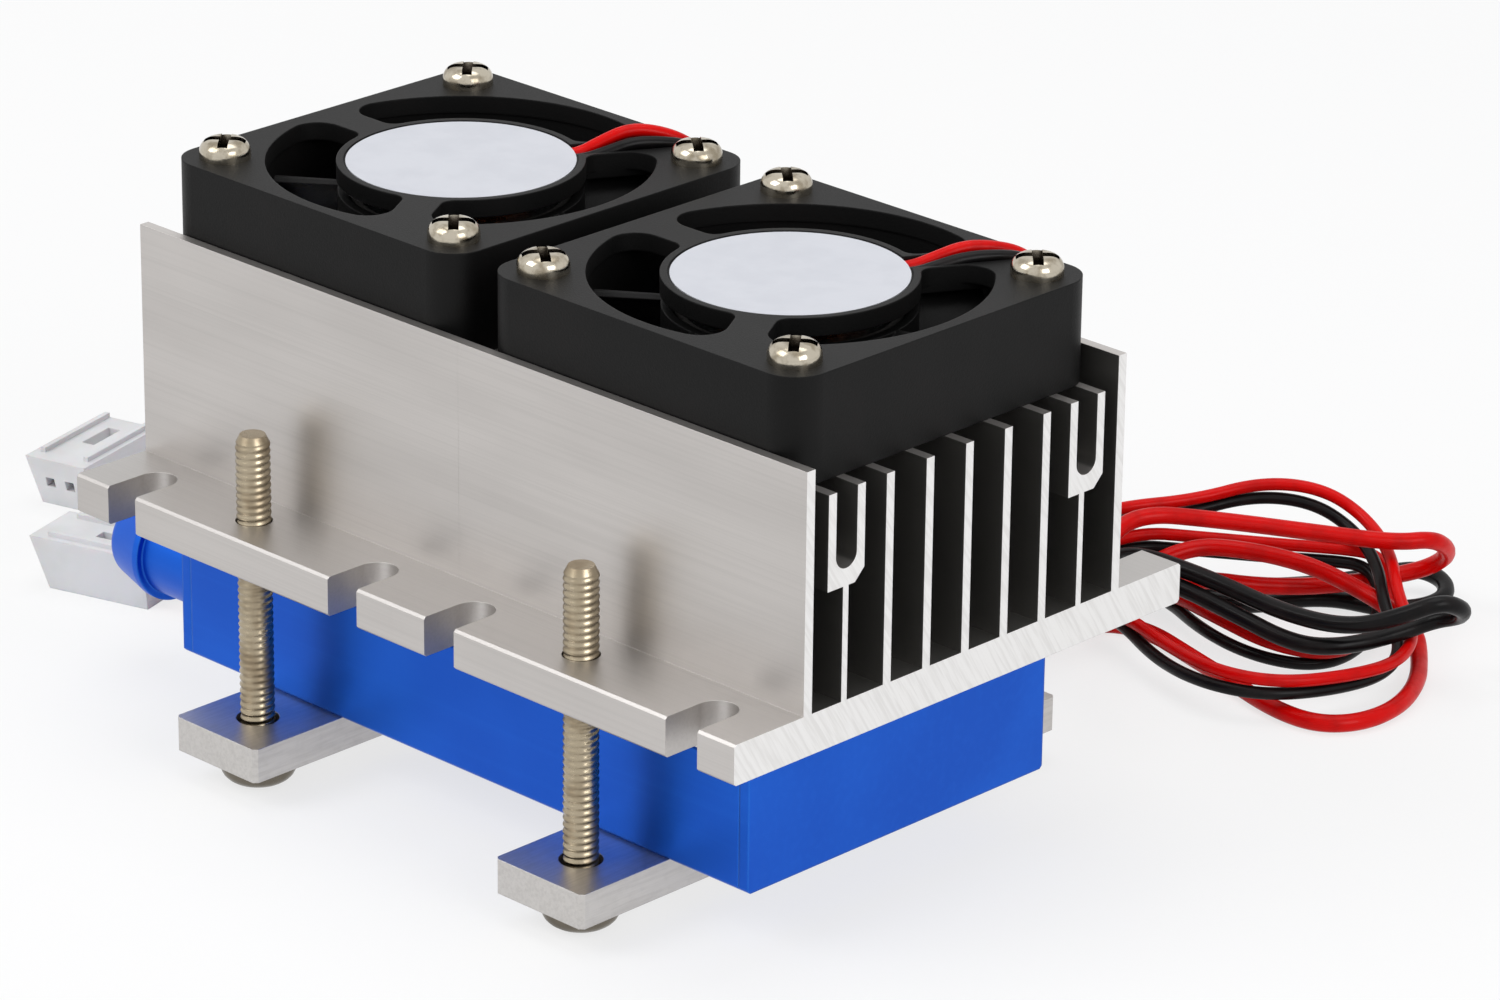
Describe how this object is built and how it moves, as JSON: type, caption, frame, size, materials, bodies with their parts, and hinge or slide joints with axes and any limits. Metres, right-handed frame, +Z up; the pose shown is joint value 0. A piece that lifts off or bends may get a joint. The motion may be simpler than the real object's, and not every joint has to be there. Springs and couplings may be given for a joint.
{
  "type": "thermoelectric cooling module",
  "caption": "Liquid-cooled thermoelectric cooler: finned heat sinks with blower fans, clamped over Peltier plates to a flat water block with two hose barbs and loose leads.",
  "frame": {"origin": "on the surface that the clamp screws' heads stand on, under the middle of the rigid outline, leads left out", "axes": "+X along the pair of heat sinks, away from the hose barbs; +Y towards the side where the leads come out; +Z up, out of the fans' label side"},
  "size_m": [0.1433, 0.1195, 0.0599],
  "materials": {
    "mill_aluminium": "mill finish with faint lengthwise extrusion lines and saw-cut ends",
    "black_plastic": "fine matte moulding",
    "magnet_rubber": "bonded ferrite",
    "shaft_steel": "ground steel",
    "bronze": "sintered bronze",
    "core_steel": "stamped electrical steel",
    "copper_wire": "enamelled copper wire",
    "board_green": "solder-masked board",
    "label_paper": "bare satin label",
    "nickel_plate": "bright nickel plate",
    "ceramic_white": "alumina ceramic",
    "pellet_grey": "bismuth telluride",
    "seal_silicone": "white silicone bead",
    "bar_aluminium": "sawn and brushed flat bar",
    "zinc_plate": "warm-tinted plated steel",
    "plug_nylon": "natural white nylon",
    "contact_tin": "tin plate",
    "blue_anodised": "blue anodised aluminium with a satin sheen",
    "lead_red": "glossy red insulation",
    "lead_black": "glossy black insulation"
  },
  "bodies": {
    "cooler": {"heat_sink_1": "mill_aluminium", "fan_frame_1": "black_plastic", "bearing_sleeve_1": "bronze", "stator_core_1": "core_steel", "stator_coils_1": "copper_wire", "fan_board_1": "board_green", "fan_label_1": "label_paper", "fan_screws_1": "nickel_plate", "module_cold_plate_1": "ceramic_white", "module_hot_plate_1": "ceramic_white", "pellet_bed_1": "pellet_grey", "module_seal_1": "seal_silicone", "clamp_bar_1": "bar_aluminium", "clamp_screws_1": "zinc_plate", "fan_plug_1": "plug_nylon", "plug_contacts_1": "contact_tin", "heat_sink_2": "mill_aluminium", "fan_frame_2": "black_plastic", "bearing_sleeve_2": "bronze", "stator_core_2": "core_steel", "stator_coils_2": "copper_wire", "fan_board_2": "board_green", "fan_label_2": "label_paper", "fan_screws_2": "nickel_plate", "module_cold_plate_2": "ceramic_white", "module_hot_plate_2": "ceramic_white", "pellet_bed_2": "pellet_grey", "module_seal_2": "seal_silicone", "clamp_bar_2": "bar_aluminium", "clamp_screws_2": "zinc_plate", "fan_plug_2": "plug_nylon", "plug_contacts_2": "contact_tin", "block_body": "blue_anodised", "block_front_cap": "blue_anodised", "block_rear_cap": "blue_anodised", "hose_barb_1": "blue_anodised", "hose_barb_2": "blue_anodised", "lead_hank": "lead_red", "module_1_red_lead": "lead_red", "fan_1_red_lead": "lead_red", "fan_1_plug_red_lead": "lead_red", "module_1_black_lead": "lead_black", "fan_1_black_lead": "lead_black", "fan_1_plug_black_lead": "lead_black", "module_2_red_lead": "lead_red", "fan_2_red_lead": "lead_red", "fan_2_plug_red_lead": "lead_red", "module_2_black_lead": "lead_black", "fan_2_black_lead": "lead_black", "fan_2_plug_black_lead": "lead_black"},
    "fan_rotor_1": {"impeller_1": "black_plastic", "rotor_magnet_1": "magnet_rubber", "rotor_shaft_1": "shaft_steel"},
    "fan_rotor_2": {"impeller_2": "black_plastic", "rotor_magnet_2": "magnet_rubber", "rotor_shaft_2": "shaft_steel"}
  },
  "joints": [
    {"name": "fan_1_spin", "type": "hinge", "parent": "cooler", "child": "fan_rotor_1", "pos_m": [-0.0165, -0.0013, 0.05], "axis": [0, 0, 1], "continuous": true},
    {"name": "fan_2_spin", "type": "hinge", "parent": "cooler", "child": "fan_rotor_2", "pos_m": [0.0275, -0.0013, 0.05], "axis": [0, 0, 1], "continuous": true}
  ]
}
